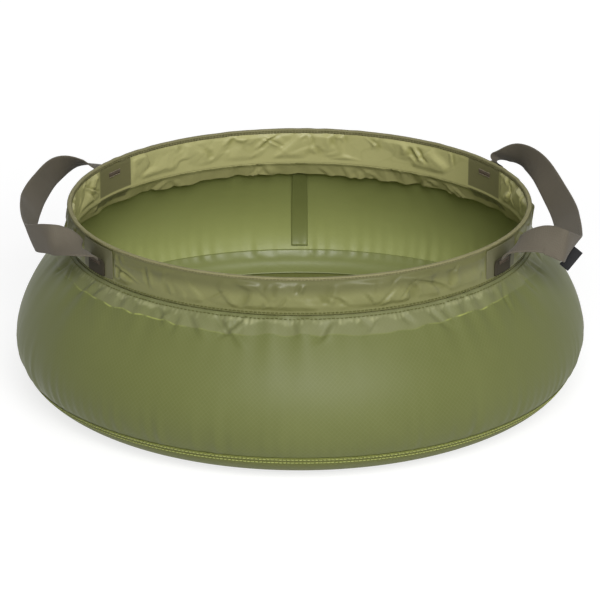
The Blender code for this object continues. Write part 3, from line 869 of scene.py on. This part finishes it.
def onCylinder(radius, height):
    return lambda angle: polar(angle, radius, height)


surface = onCylinder(basin["collarRadius"] + stitchOut, seamHeight + collar["stitchRow"])
row = ringStitches("collarStitchesUpper", surface, basin["collarRadius"], "collar")
finished(row, "rim", "dark_thread", "collar_stitching_upper")
row = ringStitches("collarStitchesLower", lambda angle: wallPoint(angle, lowerCollarRow, out=stitchOut),
                   basin["collarRadius"], "collar")
finished(row, "rim", "dark_thread", "collar_stitching_lower")
for level, height in footRows.items():
    drop = float(dropAt(height))
    row = ringStitches("footStitches" + level, lambda angle: wallPoint(angle, drop, out=hemOut(drop) + stitchOut),
                       footRowRadius, "foot")
    finished(row, "basin", "bright_thread", "base_stitching_" + level.lower())
surface = onCylinder(bindingOut + binding["clear"], basin["height"] - binding["outerRow"])
finished(ringStitches("bindingStitchesOuter", surface, bindingOut, "binding"), "rim", "dark_thread")
for level, below in zip(("Upper", "Lower"), binding["innerRows"]):
    surface = onCylinder(bindingIn - binding["clear"], basin["height"] - below)
    row = ringStitches("bindingStitchesInner" + level, surface, bindingIn, "binding", side=-1)
    finished(row, "rim", "dark_thread")
print("stitches made")

roots = {
    "patchWidth": 0.046, "patchLow": 0.1354, "patchHigh": 0.1598, "patchThickness": 0.0003,
    "strapWidth": 0.025, "strapThickness": 0.0014, "strapLow": 0.1358, "bendLow": 0.1445, "strapOut": 0.0002,
    "tackWidth": 0.016, "tackHeight": 0.0040, "tackThreads": 26, "tackLow": 0.1470, "tackSlant": 0.00028,
    "tackOut": 0.0002, "tackArch": 0.0001, "satinInset": 0.0008, "satinRadius": 0.00034, "lineRadius": 0.00040,
}
patchRadius = basin["collarRadius"] + basin["gap"]
patchHeight = roots["patchHigh"] - roots["patchLow"]
strapRadius = patchRadius + roots["patchThickness"] + roots["strapOut"] + roots["strapThickness"] / 2


def onRoot(where, across, radius, height):
    # A point on the collar's round: metres across from the root, radius and height.
    return polar(where + across / radius, radius, height)


def outFrom(where, across, radius, side):
    # Away from the middle of the basin, or towards it where side is -1.
    return side * (onRoot(where, across, radius + 1, 0) - onRoot(where, across, radius, 0))


def patchSheet(where, seed):
    # A square with eased corners that lies flat on the collar, with the faintest unevenness.
    s = np.linspace(-1, 1, 40)
    x, y = np.meshgrid(s, s)
    squeeze = 1 - 0.03 * (np.abs(x) ** 6 * np.abs(y) ** 6)      # eases the corners
    rng = np.random.default_rng(seed)
    lift = 0.00010 * np.sin(x * rng.uniform(3, 6) + y * rng.uniform(2, 5) + seed)
    middle, half = (roots["patchHigh"] + roots["patchLow"]) / 2, patchHeight / 2
    radius = patchRadius + roots["patchThickness"] + np.clip(lift, -0.0001, None)
    return onRoot(where, x * squeeze * roots["patchWidth"] / 2, radius, middle - y * squeeze * half)


def strapPath():
    # Straight up the patch from the seam, then a circle's arc that leans out to the strap's hinge.
    # Radius, height, and the direction across the strap's thickness.
    reach, climb = rootRadius - strapRadius, rootHeight - roots["bendLow"]
    lean = 2 * math.atan2(reach, climb)
    bow = climb / math.sin(lean)
    arc = np.linspace(0, lean, 14)
    low = np.linspace(roots["strapLow"], roots["bendLow"], 8)[:-1]
    r = np.concatenate([np.full(7, strapRadius), strapRadius + bow * (1 - np.cos(arc))])
    z = np.concatenate([low, roots["bendLow"] + bow * np.sin(arc)])
    turned = np.concatenate([np.zeros(7), arc])
    return r, z, -np.cos(turned), np.sin(turned)


def strapSection(sides):
    # A flat strap's section with round selvedges: offsets across and through.
    half, bend = roots["strapWidth"] / 2, roots["strapThickness"] / 2
    edge = np.linspace(-math.pi / 2, math.pi / 2, 5)
    flat = np.linspace(-1, 1, sides)[1:-1] * (half - bend)
    right = np.stack([half - bend + bend * np.cos(edge), bend * np.sin(edge)], 1)
    top = np.stack([flat[::-1], np.full(sides - 2, bend)], 1)
    bottom = np.stack([flat, np.full(sides - 2, -bend)], 1)
    return np.concatenate([right, top, -right, bottom])


section = strapSection(9)
pathR, pathZ, pathNr, pathNz = strapPath()
pathRun = runAlong(np.stack([pathR, pathZ], 1))
for corner, where in rootAngles.items():
    grid = np.linspace(0, 1, 40)
    uv = uvGrid(grid * roots["patchWidth"], grid * patchHeight)
    points = patchSheet(where, len(corner))
    patch = gridPiece("patch_" + corner + "_cloth", points, uv, packcloth, wrapCols=False, flip=True)
    thicken(patch, roots["patchThickness"])
    finished(patch, "rim", "patch_cloth", "patch_" + corner)

    r = pathR[:, None] - pathNr[:, None] * section[None, :, 1]
    z = pathZ[:, None] - pathNz[:, None] * section[None, :, 1]
    points = onRoot(where, section[None, :, 0], r, z)
    uv = uvGrid(np.append(section[:, 0], section[0, 0]), pathRun)
    strapEnd = gridPiece("strapEnd_" + corner, points, uv, strapTailPaintedShade, capEnds=True)
    finished(strapEnd, "rim", "webbing", "strap_end_" + corner)

    # Satin stitches side by side across the strap, through to the lining, and a line of longer
    # ones along each end of them.
    count = roots["tackThreads"]
    spots = np.linspace(-0.5, 0.5, count) * (roots["tackWidth"] - roots["satinInset"])
    slant = np.where(np.arange(count) % 2, 1, -1) * roots["tackSlant"]
    ends = np.tile(np.linspace(-0.375, 0.375, 4) * roots["tackWidth"], 2)
    edges = np.repeat([-0.5, 0.5], 4) * roots["tackHeight"]
    outerRadius = float(np.interp(roots["tackLow"], pathZ, pathR)) + roots["strapThickness"] / 2 + roots["tackOut"]
    innerRadius = liningRadius - basin["gap"] - roots["tackOut"]
    outerTack = ("", outerRadius, roots["tackLow"], 1, tackThread)
    innerTack = ("_inside", innerRadius, rootHeight, -1, tackEdge)
    for name, radius, height, side, thread in (outerTack, innerTack):
        middle = onRoot(where, spots, radius, height)
        along = unit(onRoot(where, spots + slant, radius, height + 0.0022) - middle)
        out = outFrom(where, spots, radius, side)
        tack = threadMesh("tack_" + corner + name, middle, along, out,
                          roots["tackHeight"], roots["satinRadius"], roots["tackArch"], tackThread)
        finished(tack, "rim", "bartack_thread", "bartack_" + corner + name)
        middle = onRoot(where, ends, radius + side * roots["tackOut"], height + edges)
        along = unit(onRoot(where, ends + 0.001, radius, 0) - onRoot(where, ends - 0.001, radius, 0))
        out = outFrom(where, ends, radius, side)
        lines = threadMesh("tackLines_" + corner + name, middle, along, out,
                           roots["tackWidth"] / 4, roots["lineRadius"], roots["tackArch"], thread)
        finished(lines, "rim", "bartack_thread")
print("roots made")


handles = {
    "halfSpan": rootRadius * math.sin(math.radians(basin["rootAngle"])), "steps": 260, "cup": 0.0005,
    "limp": 0.020,      # how far from the collar the strap bends as it swings
    # out, along and up as shares of the half span, then the lean of the strap's width in degrees
    "left": [
        (0, 1, 0, 90), (0.05, 1.035, 0.02, 82), (0.215, 1.035, 0.056, 60), (0.407, 0.909, 0.037, 0),
        (0.516, 0.63, -0.02, -24), (0.560, 0.38, -0.05, -37), (0.561, 0.12, -0.045, -34),
        (0.552, -0.12, -0.065, -26), (0.514, -0.38, -0.060, -22), (0.476, -0.62, 0.0, -17),
        (0.337, -0.92, 0.100, 0), (0.22, -0.985, 0.100, 42), (0.085, -1.04, 0.061, 84), (0, -1, 0, 90)],
    "right": [
        (0, 1, 0, 90), (0.042, 1.027, 0.093, 63), (0.107, 0.978, 0.133, 53), (0.231, 0.849, 0.175, 12),
        (0.354, 0.623, 0.142, -17), (0.47, 0.32, 0.01, -36), (0.515, 0.04, -0.035, -50),
        (0.516, -0.24, -0.04, -56), (0.512, -0.53, -0.04, -51), (0.498, -0.82, -0.008, -36),
        (0.43, -1.08, 0.098, 2), (0.275, -1.055, 0.145, 44), (0.088, -1.042, 0.10, 79), (0, -1, 0, 90)],
}
hingeReach = rootRadius * math.cos(math.radians(basin["rootAngle"]))


def handlePath(table, steps):
    # A smooth curve through the stations (each stretch a cubic through four rows), its direction
    # by differences, and the strap's width turned about it by the lean from hanging straight down.
    rows = np.array(table, float)
    rows = np.concatenate([[2 * rows[0] - rows[1]], rows, [2 * rows[-1] - rows[-2]]])
    place = np.linspace(0, len(table) - 1, steps + 1)
    index = np.minimum(place.astype(int), len(table) - 2)
    s = (place - index)[:, None]
    a, b, c, d = (rows[index + k] for k in range(4))
    mixed = (2 * b + (c - a) * s + (2 * a - 5 * b + 4 * c - d) * s**2 + (3 * b - a - 3 * c + d) * s**3) / 2
    middle = np.array([hingeReach, 0, rootHeight]) + mixed[:, :3] * handles["halfSpan"]
    along = unit(np.gradient(middle, axis=0))
    down = unit(np.array([0, 0, -1.0]) + along * along[:, 2:])
    lean = np.radians(mixed[:, 3])[:, None]
    across = down * np.cos(lean) + np.cross(along, down) * np.sin(lean)
    return middle, along, across


def handleStrap(name, table, side):
    # The strap's section carried along its path, slightly cupped away from its ends.
    middle, along, across = handlePath(table, handles["steps"])
    face = np.cross(along, across)
    section = strapSection(13)
    cup = handles["cup"] * (1 - (section[:, 0] / (roots["strapWidth"] / 2)) ** 2)
    share = np.linspace(0, 1, len(middle))
    fade = smooth(share, 0, 0.08) * (1 - smooth(share, 0.92, 1))
    lift = section[None, :, 1] + cup[None, :] * fade[:, None]
    points = middle[:, None] + across[:, None] * section[None, :, :1] + face[:, None] * lift[..., None]
    points = points * np.array([side, 1, 1])
    uv = uvGrid(np.append(section[:, 0], section[0, 0]), runAlong(middle))
    return gridPiece(name, points, uv, strapWeave, capEnds=True, flip=side > 0)


for name, side in (("left", -1), ("right", 1)):
    strap = handleStrap(name + "Strap", handles[name], side)
    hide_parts("handle_" + name)
    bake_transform(strap)

label = {
    "station": 179,     # the step of the right strap's path where it is sewn in
    "length": 0.019, "reach": 0.0092, "thickness": 0.00038, "offset": 0.007, "fold": 0.00042, "wave": 0.0004,
}


def labelTab():
    # A strip folded in two: both layers run out from the strap side by side and turn round at the
    # outer end; its cross-section is carried along the label's length with a slight wave.
    path = handlePath(handles["right"], handles["steps"])
    middle, along, across = (line[label["station"]] for line in path)
    outwards = np.cross(along, across)
    base = middle + across * label["offset"] + outwards * (roots["strapThickness"] / 2 + basin["gap"])
    far, fold = label["reach"] - label["fold"] - label["thickness"], label["fold"] / 1.2      # fold: half the gap
    bend = np.linspace(-math.pi / 2, math.pi / 2, 9)
    run = np.linspace(0, far, 8)
    mid = np.concatenate([
        np.stack([run, np.full(8, -fold)], 1), np.stack([far + fold * np.cos(bend), fold * np.sin(bend)], 1)[1:-1],
        np.stack([run[::-1], np.full(8, fold)], 1)])
    ahead = unit(np.gradient(mid, axis=0))
    half = np.stack([-ahead[:, 1], ahead[:, 0]], 1) * label["thickness"] / 2
    loop = np.concatenate([mid - half, (mid + half)[::-1]])
    length = np.linspace(-0.5, 0.5, 24)[:, None, None] * label["length"]
    wave = label["wave"] * np.sin(length[..., 0] * 260) * (loop[None, :, 0] / label["reach"])
    points = base + across * length + outwards * loop[None, :, :1] + along * (loop[None, :, 1] + wave)[..., None]
    uv = uvGrid(runAlong(np.concatenate([loop, loop[:1]])), np.linspace(0, label["length"], 24))
    return gridPiece("sideLabel", points, uv, labelWeave, capEnds=True, flip=True)


finished(labelTab(), "right_strap", "label_cloth", "side_label")
print("handles made")


studio = {
    "eye": (0.0, -2.621, 1.059), "aim": (0.0, 0.0, 0.074), "lens": 198.5, "shift": (0.0008, -0.0038),
    # radiance, width and height, place
    "front": (5.75, (2.4, 1.4), (0.76, -2.85, 1.9)),
    "low": (11.2, (1.2, 0.9), (0.12, -2.2, 1.60)),
    "top": (1.0, (1.6, 1.6), (0.1, 0.3, 2.4)),
    "lampAim": (0, 0, 0.05), "sky": 0.14,
    # the lamps fall off behind the object, and between these distances the paper's glow makes up for it
    "paperLit": 0.35, "paperGlow": (0.77, 0.93), "paperFade": (0.5, 1.4), "paperHalf": 6.0, "paperLow": -0.0002,
}


def aimed(thing, eye, aim):
    # Puts it there and turns its -Z to the aim, level.
    thing.location = eye
    forward = np.array(aim, float) - np.array(eye, float)
    flat = math.hypot(forward[0], forward[1])
    thing.rotation_euler = (math.atan2(flat, -forward[2]), 0, math.atan2(-forward[0], forward[1]))
    bpy.context.scene.collection.objects.link(thing)
    return thing


camera = bpy.data.cameras.new("camera")
camera.lens, camera.sensor_width = studio["lens"], 36.0
camera.shift_x, camera.shift_y = studio["shift"]
camera.clip_start, camera.clip_end = 0.05, 50.0
bpy.context.scene.camera = aimed(bpy.data.objects.new("camera", camera), studio["eye"], studio["aim"])

for name in ("front", "low", "top"):
    radiance, (wide, tall), eye = studio[name]
    light = bpy.data.lights.new(name + " light", "AREA")
    light.shape, light.size, light.size_y = "RECTANGLE", wide, tall
    light.energy = radiance * math.pi * wide * tall      # what an even rectangle gives in all
    aimed(bpy.data.objects.new(name + " light", light), eye, studio["lampAim"])


def whereSeen(tree):
    # 1 for rays from the camera, from gloss and through clear things, 0 for the light that falls.
    rays = add(tree, "LightPath", output="Is Camera Ray")
    seen = add(tree, "Math", {0: rays, 1: rays.node.outputs["Is Glossy Ray"]}, operation="MAXIMUM")
    return add(tree, "Math", {0: seen, 1: rays.node.outputs["Is Transmission Ray"]}, operation="MAXIMUM")


world = bpy.data.worlds.new("studio")
world.use_nodes = True
bpy.context.scene.world = world
tree = world.node_tree
sky = tree.nodes["Background"]
sky.inputs["Color"].default_value = (1, 1, 1, 1)
sky.inputs["Strength"].default_value = studio["sky"]
white = add(tree, "Background", {"Color": (1, 1, 1, 1), "Strength": 1.0})
mixed = add(tree, "MixShader", {0: whereSeen(tree), 1: sky.outputs[0], 2: white})
tree.links.new(mixed, tree.nodes["World Output"].inputs[0])

# White paper: where it is seen it is lifted to white, and only the object's own shadow shows on it.
paper, tree, shader = newMaterial("white paper floor", {"finish": (0.9,)})
shader["Base Color"].default_value = shade("#fbfbfb")
lit = add(tree, "BsdfDiffuse", {"Color": (studio["paperLit"],) * 3 + (1,)})
away = add(tree, "TexCoord", output="Object")
away = add(tree, "VectorMath", {0: away}, 1, operation="LENGTH")
fade = dict(zip(("From Min", "From Max", "To Min", "To Max"), studio["paperFade"] + studio["paperGlow"]))
away = add(tree, "MapRange", {"Value": away, **fade})
glow = add(tree, "Emission", {"Color": (1, 1, 1, 1), "Strength": away})
lifted = add(tree, "AddShader", {0: lit, 1: glow})
plain = tree.nodes["Principled BSDF"].outputs[0]
mixed = add(tree, "MixShader", {0: whereSeen(tree), 1: plain, 2: lifted})
tree.links.new(mixed, tree.nodes["Material Output"].inputs[0])
half, low = studio["paperHalf"], studio["paperLow"]
corners = np.array([[-half, -half, low], [half, -half, low], [half, half, low], [-half, half, low]])
studioFloor = newPiece("studioFloor", corners, [(0, 1, 2, 3)], paper)
bpy.context.scene.view_settings.view_transform = "Standard"
print("studio made")
